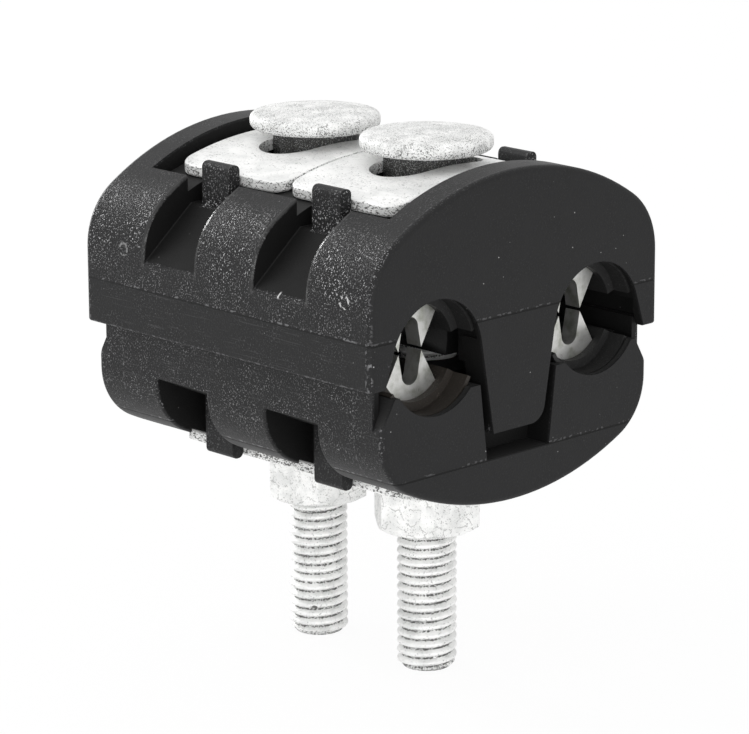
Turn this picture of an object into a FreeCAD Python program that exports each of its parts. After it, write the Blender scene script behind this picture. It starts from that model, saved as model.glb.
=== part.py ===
import FreeCAD, Part
import math
import os
import Sketcher
from FreeCAD import Placement, Rotation, Vector

# Insulation piercing connector, in millimetres.
# Z runs up along the bolts, Y along the two conductors, X from one conductor to the other.
# The bolt tips stand on z = 0. Both halves are drawn about the plane where their teeth meet,
# with heights above it called rise or top, and depths below it called drop or bottom.

# Sizes that are set one by one.
sizes = {
    # both halves of the moulded clamp
    "body_length": 54.4,
    "cheek_thickness": 4.7,
    "end_edge_round": 0.8,
    "port_radius": 8.0,
    "web_half": 6.6,
    "side_wall": 3.6,
    "port_shift": 0.5,
    "port_edge": 0.9,
    "cutter_margin": 5.0,
    "recess_margin": 0.5,
    "pocket_width": 9.8,
    "rim_round": 0.35,
    # upper half
    "upper_rise": 22.0,
    "upper_arc": 40.0,
    "upper_corner": 9.5,
    "skirt_drop": 2.6,
    "upper_pocket_depth": 8.1,
    "upper_pocket_slope": 6.9,
    "tongue_thickness": 3.7,
    "tongue_reach": 11.8,
    "tongue_angle": 10.0,
    "tongue_round": 2.5,
    "flare_angle": 18.0,
    # lower half
    "skirt_wall": 1.9,
    "lower_drop": 21.4,
    "lower_arc": 44.0,
    "lower_corner": 8.5,
    "deck_drop": 4.0,
    "web_drop": 4.9,
    "lower_pocket_depth": 9.6,
    "lower_pocket_slope": 3.0,
    "slot_top_half": 6.95,
    "slot_floor_half": 5.7,
    "slot_floor_drop": 15.1,
    "tongue_back_gap": 0.3,
    "lip_thickness": 1.1,
    "lip_height": 2.4,
    "lip_setback": 1.7,
    "lip_gap": 0.3,
    "lip_headroom": 2.6,
    "horn_inset": 2.3,
    "horn_height": 4.0,
    # retaining clips at the plates' edges
    "clip_thickness": 1.9,
    "clip_width": 5.2,
    "upper_clip_inset": 2.3,
    "lower_clip_inset": 1.7,
    "clip_embed": 1.0,
    "clip_tip_round": 0.8,
    # rubber groove liners
    "seal_wall": 0.9,
    "seal_lip_step": 0.5,
    "seal_lip_wall": 0.6,
    "seal_collar_step": 1.7,
    "seal_collar_length": 1.2,
    "seal_gap": 0.3,
    "upper_seal_angle": 150.0,
    "lower_seal_angle": 122.0,
    # contact blades
    "blade_setback": 1.5,
    "blade_thickness": 2.5,
    "blade_gap": 0.05,
    "blade_cover": 9.1,
    "bar_height": 3.5,
    "tooth_gap": 0.2,
    "tooth_offset": 2.0,
    "tooth_base": 4.8,
    "tooth_base_drop": 5.1,
    "valley_radius": 1.45,
    "valley_drop": 4.4,
    # pressure plates
    "plate_inset": 10.7,
    "plate_end_gap": 1.7,
    "plate_gap": 0.4,
    "plate_thickness": 1.5,
    "plate_arc": 50.0,
    "plate_corner": 2.6,
    "plate_edge_round": 0.35,
    "plate_sink": 1.4,
    "plate_proud": 0.6,
    "plate_side_gap": 0.4,
    "plate_seat_gap": 0.1,
    "plate_slot_half": 8.6,
    # bolts
    "bolt_length": 70.0,
    "bolt_diameter": 8.0,
    "bolt_tip_chamfer": 0.9,
    "bolt_bore_gap": 0.4,
    "neck_step": 0.05,
    "neck_length": 4.0,
    "neck_gap": 0.4,
    "neck_floor_gap": 0.3,
    "neck_recess_gap": 0.6,
    "head_side_gap": 1.8,
    "head_rim": 1.9,
    "dome_rise": 0.8,
    "head_edge_round": 0.8,
    "head_gap": 1.6,
    # nuts
    "nut_wall": 2.5,
    "nut_height": 6.5,
    "nut_bore_gap": 0.05,
    "nut_bore_chamfer": 0.5,
    "nut_face_step": 0.3,
    "nut_gap": 0.1,
    "front_nut_turn": -7.0,
    "rear_nut_turn": -13.0,
}

# Places worked out from the sizes.
places = {
    "half_length": "Sizes.body_length / 2",
    "cheek_inner": "half_length - Sizes.cheek_thickness",
    "inner_length": "2 * cheek_inner",
    "groove_x": "Sizes.port_radius + Sizes.web_half",
    "clear_up": "Sizes.upper_rise + Sizes.cutter_margin",
    "clear_down": "Sizes.lower_drop + Sizes.cutter_margin",
    "clear_side": "upper_side + Sizes.cutter_margin",
    # outlines of the two halves
    "upper_side": "groove_x + Sizes.port_radius + Sizes.side_wall",
    "upper_arc_centre": "Sizes.upper_rise - Sizes.upper_arc",
    "lower_side": "upper_side - Sizes.skirt_wall",
    "lower_arc_centre": "Sizes.lower_arc - Sizes.lower_drop",
    # ports, with the tongue's edges and the outer flares tangent to the upper arch
    "port_inner_x": "groove_x - Sizes.port_radius * cos(Sizes.tongue_angle * 1deg)",
    "port_inner_z": "Sizes.port_radius * sin(Sizes.tongue_angle * 1deg) - Sizes.port_shift",
    "port_outer_x": "groove_x + Sizes.port_radius * cos(Sizes.flare_angle * 1deg)",
    "port_outer_z": "Sizes.port_radius * sin(Sizes.flare_angle * 1deg) - Sizes.port_shift",
    "tongue_slope": "tan(Sizes.tongue_angle * 1deg)",
    "tongue_skirt_x": "port_inner_x - (port_inner_z + Sizes.skirt_drop) * tongue_slope",
    "tongue_tip_x": "port_inner_x - (port_inner_z + Sizes.tongue_reach) * tongue_slope",
    "flare_x": "port_outer_x + (port_outer_z + Sizes.skirt_drop) * tan(Sizes.flare_angle * 1deg)",
    "slot_depth": "Sizes.tongue_thickness + Sizes.tongue_back_gap",
    # rubber liners and their seats, measured out from the groove's axis
    "seal_outer": "Sizes.port_radius + Sizes.seal_wall",
    "seal_lip_inner": "Sizes.port_radius - Sizes.seal_lip_step",
    "seal_lip_outer": "seal_lip_inner + Sizes.seal_lip_wall",
    "seal_collar_inner": "Sizes.port_radius - Sizes.seal_collar_step",
    "liner_length": "Sizes.body_length - 2 * Sizes.port_edge",
    "lip_seat_radius": "seal_lip_outer + Sizes.seal_gap",
    "liner_seat_radius": "seal_outer + Sizes.seal_gap",
    "liner_seat_half": "sqrt(liner_seat_radius * liner_seat_radius - Sizes.deck_drop * Sizes.deck_drop)",
    "liner_seat_left": "groove_x - liner_seat_half",
    "liner_seat_right": "groove_x + liner_seat_half",
    # side wall lip of the lower half and its channel in the upper half
    "lip_top": "Sizes.deck_drop - Sizes.lip_height",
    "lip_inner": "lower_side - Sizes.lip_thickness",
    "lip_stop": "half_length - Sizes.lip_setback",
    "channel_inner": "lip_inner - Sizes.lip_gap",
    "channel_outer": "lower_side + Sizes.lip_gap",
    "channel_length": "2 * (lip_stop + Sizes.lip_gap)",
    "channel_top": "Sizes.lip_headroom - lip_top",
    "horn_x": "lower_side - Sizes.horn_inset",
    "horn_foot": "Sizes.deck_drop + Sizes.horn_height",
    "horn_gap_floor": "Sizes.deck_drop + Sizes.horn_height * (lip_inner - horn_x) / Sizes.horn_inset",
    # side pockets
    "pocket_half": "Sizes.pocket_width / 2",
    "upper_pocket_root": "Sizes.upper_rise - Sizes.upper_pocket_depth",
    "upper_pocket_sill": "upper_pocket_root - Sizes.upper_pocket_slope",
    "lower_pocket_root": "Sizes.lower_drop - Sizes.lower_pocket_depth",
    "lower_pocket_sill": "lower_pocket_root - Sizes.lower_pocket_slope",
    # pressure plates, their seats and their clips
    "plate_top": "Sizes.upper_rise - Sizes.plate_sink",
    "plate_bottom": "Sizes.lower_drop + Sizes.plate_proud",
    "plate_half": "upper_side - Sizes.plate_inset",
    "plate_length": "(inner_length - Sizes.plate_gap) / 2 - Sizes.plate_end_gap",
    "plate_inner_arc": "Sizes.plate_arc - Sizes.plate_thickness",
    "plate_slot_radius": "neck_half + Sizes.neck_gap",
    "plate_slot_centre": "Sizes.plate_slot_half - plate_slot_radius",
    "seat_arc": "plate_inner_arc - Sizes.plate_seat_gap",
    "upper_seat_centre": "plate_top - Sizes.plate_arc",
    "lower_seat_centre": "Sizes.plate_arc - plate_bottom",
    "clip_inner": "plate_half + Sizes.plate_side_gap",
    "clip_outer": "clip_inner + Sizes.clip_thickness",
    "recess_half": "clip_outer + Sizes.recess_margin",
    "upper_clip_root": "upper_pocket_root - Sizes.clip_embed",
    "upper_clip_tip": "Sizes.upper_rise - Sizes.upper_clip_inset",
    "lower_clip_root": "lower_pocket_root - Sizes.clip_embed",
    "lower_clip_tip": "Sizes.lower_drop - Sizes.lower_clip_inset",
    # bolts and their bores
    "bolt_y": "(plate_length + Sizes.plate_gap) / 2",
    "bolt_radius": "Sizes.bolt_diameter / 2",
    "bolt_tip_radius": "bolt_radius - Sizes.bolt_tip_chamfer",
    "bore_radius": "bolt_radius + Sizes.bolt_bore_gap",
    "head_radius": "bolt_y - Sizes.head_side_gap",
    "head_seat": "plate_top + Sizes.head_gap",
    "head_top": "Sizes.bolt_length + Sizes.head_rim + Sizes.dome_rise",
    "dome_radius": "head_radius * head_radius / (2 * Sizes.dome_rise) + Sizes.dome_rise / 2",
    "dome_centre": "head_top - dome_radius",
    "neck_half": "bolt_radius - Sizes.neck_step",
    "neck_bottom": "Sizes.bolt_length - Sizes.neck_length",
    "neck_recess_radius": "neck_half * sqrt(2) + Sizes.neck_recess_gap",
    "neck_recess_floor": "head_seat - Sizes.neck_length - Sizes.head_gap - Sizes.neck_floor_gap",
    "teeth_height": "Sizes.bolt_length - head_seat",
    "top_plate_height": "teeth_height + plate_top",
    "bottom_plate_height": "teeth_height - plate_bottom",
    # nuts
    "nut_base": "bottom_plate_height - Sizes.nut_gap - Sizes.nut_height",
    "nut_flat": "bolt_radius + Sizes.nut_wall",
    "nut_corner": "nut_flat / cos(30deg)",
    "nut_half_corner": "nut_corner / 2",
    "nut_bore_radius": "bolt_radius + Sizes.nut_bore_gap",
    "nut_face_radius": "nut_flat - Sizes.nut_face_step",
    "nut_outside": "nut_corner + Sizes.cutter_margin",
    "nut_bevel": "(nut_outside - nut_face_radius) * tan(30deg)",
    "nut_bevel_top": "Sizes.nut_height - nut_bevel",
    # contact blades and their slots
    "blade_pitch": "cheek_inner - Sizes.blade_setback",
    "blade_depth": "Sizes.upper_rise - Sizes.blade_cover",
    "blade_side": "groove_x + Sizes.tooth_base",
    "blade_slot_side": "blade_side + Sizes.blade_gap",
    "blade_slot_floor": "blade_depth + Sizes.blade_gap",
    "blade_slot_width": "Sizes.blade_thickness + 2 * Sizes.blade_gap",
    "bar_top": "blade_depth - Sizes.bar_height",
    "outer_tip": "groove_x + Sizes.tooth_offset",
    "inner_tip": "groove_x - Sizes.tooth_offset",
    "tooth_inner_base": "groove_x - Sizes.tooth_base",
    "valley_centre": "Sizes.valley_drop - Sizes.valley_radius",
    # rubber liners, along the groove from its middle
    "window_half": "Sizes.tooth_base + Sizes.blade_gap",
    "collar_half": "Sizes.blade_thickness / 2 + Sizes.seal_collar_length",
    "collar_start": "blade_pitch - collar_half",
    "collar_end": "blade_pitch + collar_half",
    "seal_shoulder": "cheek_inner - Sizes.seal_gap",
    "seal_end": "half_length - Sizes.port_edge - Sizes.seal_gap",
}

document = FreeCAD.newDocument("PiercingConnector")


def add_sheet(name, rows):
    sheet = document.addObject("Spreadsheet::Sheet", name)
    for row, (alias, content) in enumerate(rows.items(), start=1):
        sheet.set(f"A{row}", alias)
        sheet.set(f"B{row}", content)
        sheet.setAlias(f"B{row}", alias)
    return sheet


size_sheet = add_sheet("Sizes", {alias: str(value) for alias, value in sizes.items()})
place_sheet = add_sheet("Places", {alias: "=" + rule for alias, rule in places.items()})
document.recompute()

cuts = []
nodes = []


# A named size or place, as a number or as the expression that follows it. A leading minus mirrors it.
def number(name):
    plain = name.lstrip("-")
    sheet = size_sheet if plain in sizes else place_sheet
    value = float(sheet.get(plain))
    return -value if name.startswith("-") else value


def expression(name):
    plain = name.lstrip("-")
    sheet = "Sizes." if plain in sizes else "Places."
    return ("-" if name.startswith("-") else "") + sheet + plain


def mirrored(name):
    if name in ("0", "above", "below"):
        return name
    swap = {"left": "right", "right": "left"}
    if name in swap:
        return swap[name]
    return name[1:] if name.startswith("-") else "-" + name


# One sub-part, placed by named values.
def new_body(label, x=None, y=None, z=None, turn=None):
    body = document.addObject("PartDesign::Body", label.title().replace("_", ""))
    body.Label = label
    body.Placement = Placement(Vector(0, 0, 0), turn or Rotation())
    for axis, name in (("x", x), ("y", y), ("z", z)):
        if name:
            body.setExpression("Placement.Base." + axis, expression(name))
    nodes.append(body)
    return body


def new_sketch(body, name, plane, offset=None):
    sketch = body.newObject("Sketcher::SketchObject", name)
    support = [origin for origin in body.Origin.OriginFeatures if origin.Role == plane]
    sketch.AttachmentSupport = [(support[0], "")]
    sketch.MapMode = "FlatFace"
    if offset:
        sketch.setExpression("AttachmentOffset.Base.z", expression(offset))
    return sketch


def pin(sketch, geometry, vertex, axis, name):
    if name == "0":
        line = -2 if axis == "X" else -1
        sketch.addConstraint(Sketcher.Constraint("PointOnObject", geometry, vertex, line))
        return
    rule = Sketcher.Constraint("Distance" + axis, -1, 1, geometry, vertex, number(name))
    index = sketch.addConstraint(rule)
    sketch.setExpression(f"Constraints[{index}]", expression(name))


# Where a corner is: both coordinates by name, or one of them by the side of the arc that it ends.
def corner_spot(corner, arc):
    along, up = corner
    if along in ("left", "right"):
        centre = 0.0 if arc[0] == "0" else number(arc[0])
        rise = number(up) - (0.0 if arc[1] == "0" else number(arc[1]))
        reach = math.sqrt(number(arc[2]) ** 2 - rise**2)
        return Vector(centre - reach if along == "left" else centre + reach, number(up), 0)
    x = 0.0 if along == "0" else number(along)
    if up in ("above", "below"):
        centre = 0.0 if arc[1] == "0" else number(arc[1])
        run = x - (0.0 if arc[0] == "0" else number(arc[0]))
        reach = math.sqrt(number(arc[2]) ** 2 - run**2)
        return Vector(x, centre - reach if up == "below" else centre + reach, 0)
    return Vector(x, 0.0 if up == "0" else number(up), 0)


# A closed outline through its corners. arcs gives, for the side that starts at a corner, the
# centre's two coordinates, the radius and the way round; every other side is straight.
def draw_outline(body, name, plane, corners, arcs=None, offset=None):
    arcs = arcs or {}
    count = len(corners)
    sketch = new_sketch(body, name, plane, offset)
    spots = []
    for index, corner in enumerate(corners):
        arc = arcs.get(index) or arcs.get((index - 1) % count)
        spots.append(corner_spot(corner, arc))
    starts, ends = [], []
    for index in range(count):
        start, end = spots[index], spots[(index + 1) % count]
        if index not in arcs:
            sketch.addGeometry(Part.LineSegment(start, end))
            starts.append(1)
            ends.append(2)
            continue
        across, up, radius, way = arcs[index]
        centre = Vector(0.0 if across == "0" else number(across), 0.0 if up == "0" else number(up), 0)
        first, last = (start, end) if way == "ccw" else (end, start)
        circle = Part.Circle(centre, Vector(0, 0, 1), number(radius))
        angles = [math.atan2(spot.y - centre.y, spot.x - centre.x) for spot in (first, last)]
        sketch.addGeometry(Part.ArcOfCircle(circle, angles[0], angles[1]))
        starts.append(1 if way == "ccw" else 2)
        ends.append(2 if way == "ccw" else 1)
    for index in range(count):
        following = (index + 1) % count
        joint = Sketcher.Constraint("Coincident", index, ends[index], following, starts[following])
        sketch.addConstraint(joint)
    for index, (across, up) in enumerate(corners):
        if across not in ("left", "right"):
            pin(sketch, index, starts[index], "X", across)
        if up not in ("above", "below"):
            pin(sketch, index, starts[index], "Y", up)
    for index, (across, up, radius, way) in arcs.items():
        pin(sketch, index, 3, "X", across)
        pin(sketch, index, 3, "Y", up)
        rule = sketch.addConstraint(Sketcher.Constraint("Radius", index, number(radius)))
        sketch.setExpression(f"Constraints[{rule}]", expression(radius))
    return sketch


def draw_circle(body, name, plane, across, up, radius, offset=None):
    sketch = new_sketch(body, name, plane, offset)
    centre = Vector(0.0 if across == "0" else number(across), 0.0 if up == "0" else number(up), 0)
    sketch.addGeometry(Part.Circle(centre, Vector(0, 0, 1), number(radius)))
    pin(sketch, 0, 3, "X", across)
    pin(sketch, 0, 3, "Y", up)
    rule = sketch.addConstraint(Sketcher.Constraint("Radius", 0, number(radius)))
    sketch.setExpression(f"Constraints[{rule}]", expression(radius))
    return sketch


def draw_box(body, name, plane, left, right, low, high, offset=None):
    corners = [(left, low), (right, low), (right, high), (left, high)]
    return draw_outline(body, name, plane, corners, offset=offset)


# Extrusion of a sketch: to both sides of it, or away from it, by a named length.
def pad(body, sketch, name, length, both=False, back=False):
    feature = body.newObject("PartDesign::Pad", name)
    feature.Profile = sketch
    feature.SideType = "Symmetric" if both else "One side"
    feature.Reversed = back
    feature.setExpression("Length", expression(length))
    return feature


def cut(body, sketch, name, length=None, both=False, back=False):
    base = body.Tip
    feature = body.newObject("PartDesign::Pocket", name)
    feature.Profile = sketch
    feature.SideType = "Symmetric" if both else "One side"
    feature.Reversed = back
    if length:
        feature.setExpression("Length", expression(length))
    else:
        feature.Type = "ThroughAll"
    cuts.append((feature, base))
    return feature


def turn_profile(body, kind, sketch, name, axis, angle=None):
    base = body.Tip
    feature = body.newObject("PartDesign::" + kind, name)
    feature.Profile = sketch
    feature.ReferenceAxis = (sketch, [axis])
    feature.Angle = 360.0
    if angle:
        feature.Midplane = True
        feature.setExpression("Angle", expression(angle))
    if kind == "Groove":
        cuts.append((feature, base))
    return feature


def dress_edges(body, kind, name, size, wanted):
    document.recompute()
    base = body.Tip
    names = [f"Edge{index}" for index, edge in enumerate(base.Shape.Edges, start=1) if wanted(edge)]
    feature = body.newObject("PartDesign::" + kind, name)
    feature.Base = (base, names)
    feature.setExpression("Radius" if kind == "Fillet" else "Size", expression(size))
    return feature


def runs_along(edge, direction):
    if edge.Curve.TypeId != "Part::GeomLine":
        return False
    return edge.Curve.Direction.cross(direction).Length < 1e-6


def lies_at(edge, axis, value):
    return all(abs(getattr(vertex.Point, axis) - value) < 1e-4 for vertex in edge.Vertexes)


def in_end_face(edge):
    end = number("half_length")
    return lies_at(edge, "y", end) or lies_at(edge, "y", -end)


# The cheeks' sketches lie on the two end faces, and the material is inwards of them.
end_faces = (("Front", "half_length", True), ("Rear", "-half_length", False))
sides = (("Left", True), ("Right", False))
bolt_rows = (("Front", "bolt_y"), ("Rear", "-bolt_y"))
blade_rows = (("Front", "blade_pitch"), ("Middle", None), ("Rear", "-blade_pitch"))


def on_side(corners, left):
    if not left:
        return corners
    return [(mirrored(across), up) for across, up in corners]


# Upper half: arched block, ports, tongues, plate recess, side pockets with clips.
def make_upper_body():
    body = new_body("upper_body", z="teeth_height")
    outline = [
        ("-upper_side", "-skirt_drop"),
        ("upper_side", "-skirt_drop"),
        ("upper_side", "above"),
        ("-upper_side", "above"),
    ]
    arch = {2: ("0", "upper_arc_centre", "upper_arc", "ccw")}
    sketch = draw_outline(body, "UpperOutline", "XZ_Plane", outline, arch)
    pad(body, sketch, "UpperBlock", "body_length", both=True)
    dress_edges(
        body,
        "Fillet",
        "UpperCorners",
        "upper_corner",
        lambda edge: runs_along(edge, Vector(0, 1, 0)) and edge.CenterOfMass.z > 0,
    )
    dress_edges(
        body,
        "Fillet",
        "UpperEndEdges",
        "end_edge_round",
        lambda edge: in_end_face(edge) and not lies_at(edge, "z", -number("skirt_drop")),
    )
    dress_edges(
        body, "Fillet", "SkirtRim", "rim_round", lambda edge: lies_at(edge, "z", -number("skirt_drop"))
    )
    cut_upper_ports(body)
    cut_lip_channels(body)
    cut_plate_recess(body, "upper_seat_centre", "above", "clear_up")
    cut_side_pockets(body, "upper_side", "upper_pocket_sill", "upper_pocket_root", "clear_up")
    round_pocket_rims(body, "upper_side", "upper_arc", "upper_corner")
    cut_blade_slots(body, "-clear_down", "blade_slot_floor")
    add_clips(body, "upper_clip_root", "upper_clip_tip")
    add_tongues(body)
    cut_bolt_bores(body)
    cut_neck_recesses(body)


def cut_upper_ports(body):
    for side, left in sides:
        corners = [
            ("tongue_skirt_x", "-skirt_drop"),
            ("flare_x", "-skirt_drop"),
            ("port_outer_x", "above"),
            ("port_inner_x", "above"),
        ]
        centre = mirrored("groove_x") if left else "groove_x"
        arch = {2: (centre, "-port_shift", "port_radius", "cw" if left else "ccw")}
        sketch = draw_outline(body, side + "PortOutline", "XZ_Plane", on_side(corners, left), arch)
        cut(body, sketch, side + "Port", both=True)
        sketch = draw_circle(body, side + "LipSeatCircle", "XZ_Plane", centre, "0", "lip_seat_radius")
        cut(body, sketch, side + "LipSeat", "liner_length", both=True)
        sketch = draw_circle(body, side + "LinerSeatCircle", "XZ_Plane", centre, "0", "liner_seat_radius")
        cut(body, sketch, side + "LinerSeat", "inner_length", both=True)


def cut_lip_channels(body):
    for side, left in sides:
        inner, outer = ("channel_inner", "channel_outer")
        if left:
            inner, outer = ("-channel_outer", "-channel_inner")
        sketch = draw_box(
            body, side + "ChannelOutline", "XZ_Plane", inner, outer, "-clear_down", "channel_top"
        )
        cut(body, sketch, side + "Channel", "channel_length", both=True)


def cut_plate_recess(body, centre, side, clear):
    corners = [
        ("-recess_half", side),
        ("recess_half", side),
        ("recess_half", clear),
        ("-recess_half", clear),
    ]
    way = "cw" if side == "above" else "ccw"
    seat = {0: ("0", centre, "seat_arc", way)}
    sketch = draw_outline(body, "RecessOutline", "XZ_Plane", corners, seat)
    cut(body, sketch, "PlateRecess", "inner_length", both=True)


def cut_side_pockets(body, wall, sill, root, clear):
    for row, offset in bolt_rows:
        for side, left in sides:
            corners = [
                ("clear_side", sill),
                (wall, sill),
                ("clip_outer", root),
                ("clip_inner", root),
                ("clip_inner", clear),
                ("clear_side", clear),
            ]
            name = side + row + "Pocket"
            sketch = draw_outline(
                body, name + "Outline", "XZ_Plane", on_side(corners, left), offset=offset
            )
            cut(body, sketch, name, "pocket_width", both=True)


# Rounds the rims of the side pockets, where their flat ends meet the block's outer skin.
def round_pocket_rims(body, wall, arc, corner):
    half = number("pocket_half")
    rows = [number(offset) for name, offset in bolt_rows]
    ends = [row + step for row in rows for step in (-half, half)]
    skin = (number(arc), number(corner))

    def on_rim(edge):
        if not any(lies_at(edge, "y", end) for end in ends):
            return False
        if edge.Curve.TypeId == "Part::GeomCircle":
            return any(abs(edge.Curve.Radius - radius) < 1e-4 for radius in skin)
        return abs(abs(edge.CenterOfMass.x) - number(wall)) < 1e-4

    dress_edges(body, "Fillet", "PocketRims", "rim_round", on_rim)


def add_clips(body, root, tip):
    for row, offset in bolt_rows:
        for side, left in sides:
            inner, outer = ("-clip_outer", "-clip_inner") if left else ("clip_inner", "clip_outer")
            name = side + row + "Clip"
            sketch = draw_box(body, name + "Outline", "XZ_Plane", inner, outer, root, tip, offset)
            pad(body, sketch, name, "clip_width", both=True)
    dress_edges(
        body,
        "Fillet",
        "ClipTips",
        "clip_tip_round",
        lambda edge: runs_along(edge, Vector(0, 1, 0)) and lies_at(edge, "z", number(tip)),
    )


def cut_blade_slots(body, low, high):
    for row, offset in blade_rows:
        sketch = draw_box(
            body,
            row + "BladeSlotOutline",
            "XZ_Plane",
            "-blade_slot_side",
            "blade_slot_side",
            low,
            high,
            offset,
        )
        cut(body, sketch, row + "BladeSlot", "blade_slot_width", both=True)


def add_tongues(body):
    corners = [
        ("-port_inner_x", "port_inner_z"),
        ("port_inner_x", "port_inner_z"),
        ("tongue_tip_x", "-tongue_reach"),
        ("-tongue_tip_x", "-tongue_reach"),
    ]
    for end, offset, back in end_faces:
        sketch = draw_outline(body, end + "TongueOutline", "XZ_Plane", corners, offset=offset)
        pad(body, sketch, end + "Tongue", "tongue_thickness", back=back)
    reach = number("-tongue_reach")
    dress_edges(
        body,
        "Fillet",
        "TongueCorners",
        "tongue_round",
        lambda edge: runs_along(edge, Vector(0, 1, 0)) and lies_at(edge, "z", reach) and edge.CenterOfMass.x > 0,
    )


def cut_bolt_bores(body):
    for row, offset in bolt_rows:
        sketch = draw_circle(body, row + "BoreCircle", "XY_Plane", "0", mirrored(offset), "bore_radius")
        cut(body, sketch, row + "Bore", both=True)


# Round recesses under the top plates, where the bolts' square necks have room to drop.
def cut_neck_recesses(body):
    for row, offset in bolt_rows:
        sketch = draw_circle(
            body,
            row + "NeckCircle",
            "XY_Plane",
            "0",
            mirrored(offset),
            "neck_recess_radius",
            "neck_recess_floor",
        )
        cut(body, sketch, row + "NeckRecess", back=True)


# Lower half: rounded trough, grooves, tongue slots, side lips, horns, plate recess and pockets.
def make_lower_body():
    body = new_body("lower_body", z="teeth_height")
    outline = [
        ("-lower_side", "-lip_top"),
        ("-lower_side", "below"),
        ("lower_side", "below"),
        ("lower_side", "-lip_top"),
    ]
    belly = {1: ("0", "lower_arc_centre", "lower_arc", "ccw")}
    sketch = draw_outline(body, "LowerOutline", "XZ_Plane", outline, belly)
    pad(body, sketch, "LowerBlock", "body_length", both=True)
    dress_edges(
        body,
        "Fillet",
        "LowerCorners",
        "lower_corner",
        lambda edge: runs_along(edge, Vector(0, 1, 0)) and not lies_at(edge, "z", -number("lip_top")),
    )
    dress_edges(
        body,
        "Fillet",
        "LowerEndEdges",
        "end_edge_round",
        lambda edge: in_end_face(edge) and not lies_at(edge, "z", -number("lip_top")),
    )
    sketch = draw_box(body, "DeckOutline", "XZ_Plane", "-lip_inner", "lip_inner", "-deck_drop", "clear_up")
    cut(body, sketch, "Deck", both=True)
    sketch = draw_box(body, "WebOutline", "XZ_Plane", "-groove_x", "groove_x", "-web_drop", "clear_up")
    cut(body, sketch, "WebTop", both=True)
    cut_lower_ports(body)
    cut_tongue_slots(body)
    cut_horns(body)
    cut_plate_recess(body, "lower_seat_centre", "below", "-clear_down")
    cut_side_pockets(body, "lower_side", "-lower_pocket_sill", "-lower_pocket_root", "-clear_down")
    round_pocket_rims(body, "lower_side", "lower_arc", "lower_corner")
    cut_blade_slots(body, "-blade_slot_floor", "clear_up")
    add_clips(body, "-lower_clip_root", "-lower_clip_tip")
    cut_bolt_bores(body)


def cut_lower_ports(body):
    for side, left in sides:
        centre = mirrored("groove_x") if left else "groove_x"
        sketch = draw_circle(body, side + "PortCircle", "XZ_Plane", centre, "port_shift", "port_radius")
        cut(body, sketch, side + "Port", both=True)
        sketch = draw_circle(body, side + "LipSeatCircle", "XZ_Plane", centre, "0", "lip_seat_radius")
        cut(body, sketch, side + "LipSeat", "liner_length", both=True)
        corners = on_side([("liner_seat_left", "below"), ("liner_seat_right", "below")], left)
        trough = {0: (centre, "0", "liner_seat_radius", "cw" if left else "ccw")}
        sketch = draw_outline(body, side + "LinerSeatOutline", "XZ_Plane", corners, trough)
        cut(body, sketch, side + "LinerSeat", "inner_length", both=True)


def cut_tongue_slots(body):
    corners = [
        ("-slot_top_half", "clear_up"),
        ("-slot_top_half", "-web_drop"),
        ("-slot_floor_half", "-slot_floor_drop"),
        ("slot_floor_half", "-slot_floor_drop"),
        ("slot_top_half", "-web_drop"),
        ("slot_top_half", "clear_up"),
    ]
    for end, offset, back in end_faces:
        sketch = draw_outline(body, end + "SlotOutline", "XZ_Plane", corners, offset=offset)
        cut(body, sketch, end + "TongueSlot", "slot_depth", back=not back)


# The cheeks' outer corners lean in to a horn beside each port, clear of the side wall's lip.
def cut_horns(body):
    for end, offset, back in end_faces:
        for side, left in sides:
            corner = [
                ("horn_x", "-deck_drop"),
                ("lower_side", "-horn_foot"),
                ("clear_side", "-horn_foot"),
                ("clear_side", "clear_up"),
                ("horn_x", "clear_up"),
            ]
            name = side + end + "Horn"
            sketch = draw_outline(
                body, name + "Outline", "XZ_Plane", on_side(corner, left), offset=offset
            )
            cut(body, sketch, name, "lip_setback", back=not back)
            gap = [
                ("horn_x", "-deck_drop"),
                ("lip_inner", "-horn_gap_floor"),
                ("lip_inner", "clear_up"),
                ("horn_x", "clear_up"),
            ]
            sketch = draw_outline(
                body, name + "GapOutline", "XZ_Plane", on_side(gap, left), offset=offset
            )
            cut(body, sketch, name + "Gap", "cheek_thickness", back=not back)


# Arched galvanised plate with rounded corners and a slotted hole across the connector.
def make_plate(label, y, z, turn=None):
    body = new_body(label, y=y, z=z, turn=turn)
    corners = [
        ("-plate_half", "above"),
        ("plate_half", "above"),
        ("plate_half", "above"),
        ("-plate_half", "above"),
    ]
    arcs = {
        0: ("0", "-plate_arc", "plate_arc", "cw"),
        2: ("0", "-plate_arc", "plate_inner_arc", "ccw"),
    }
    sketch = draw_outline(body, "Arch", "XZ_Plane", corners, arcs)
    pad(body, sketch, "Sheet", "plate_length", both=True)
    dress_edges(
        body, "Fillet", "Corners", "plate_corner", lambda edge: runs_along(edge, Vector(0, 0, 1))
    )
    dress_edges(
        body,
        "Fillet",
        "RolledEdges",
        "plate_edge_round",
        lambda edge: not runs_along(edge, Vector(0, 0, 1)),
    )
    slot = [
        ("-plate_slot_centre", "below"),
        ("plate_slot_centre", "below"),
        ("plate_slot_centre", "above"),
        ("-plate_slot_centre", "above"),
    ]
    ends = {
        1: ("plate_slot_centre", "0", "plate_slot_radius", "ccw"),
        3: ("-plate_slot_centre", "0", "plate_slot_radius", "ccw"),
    }
    sketch = draw_outline(body, "SlotOutline", "XY_Plane", slot, ends)
    cut(body, sketch, "Slot", both=True)


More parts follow.
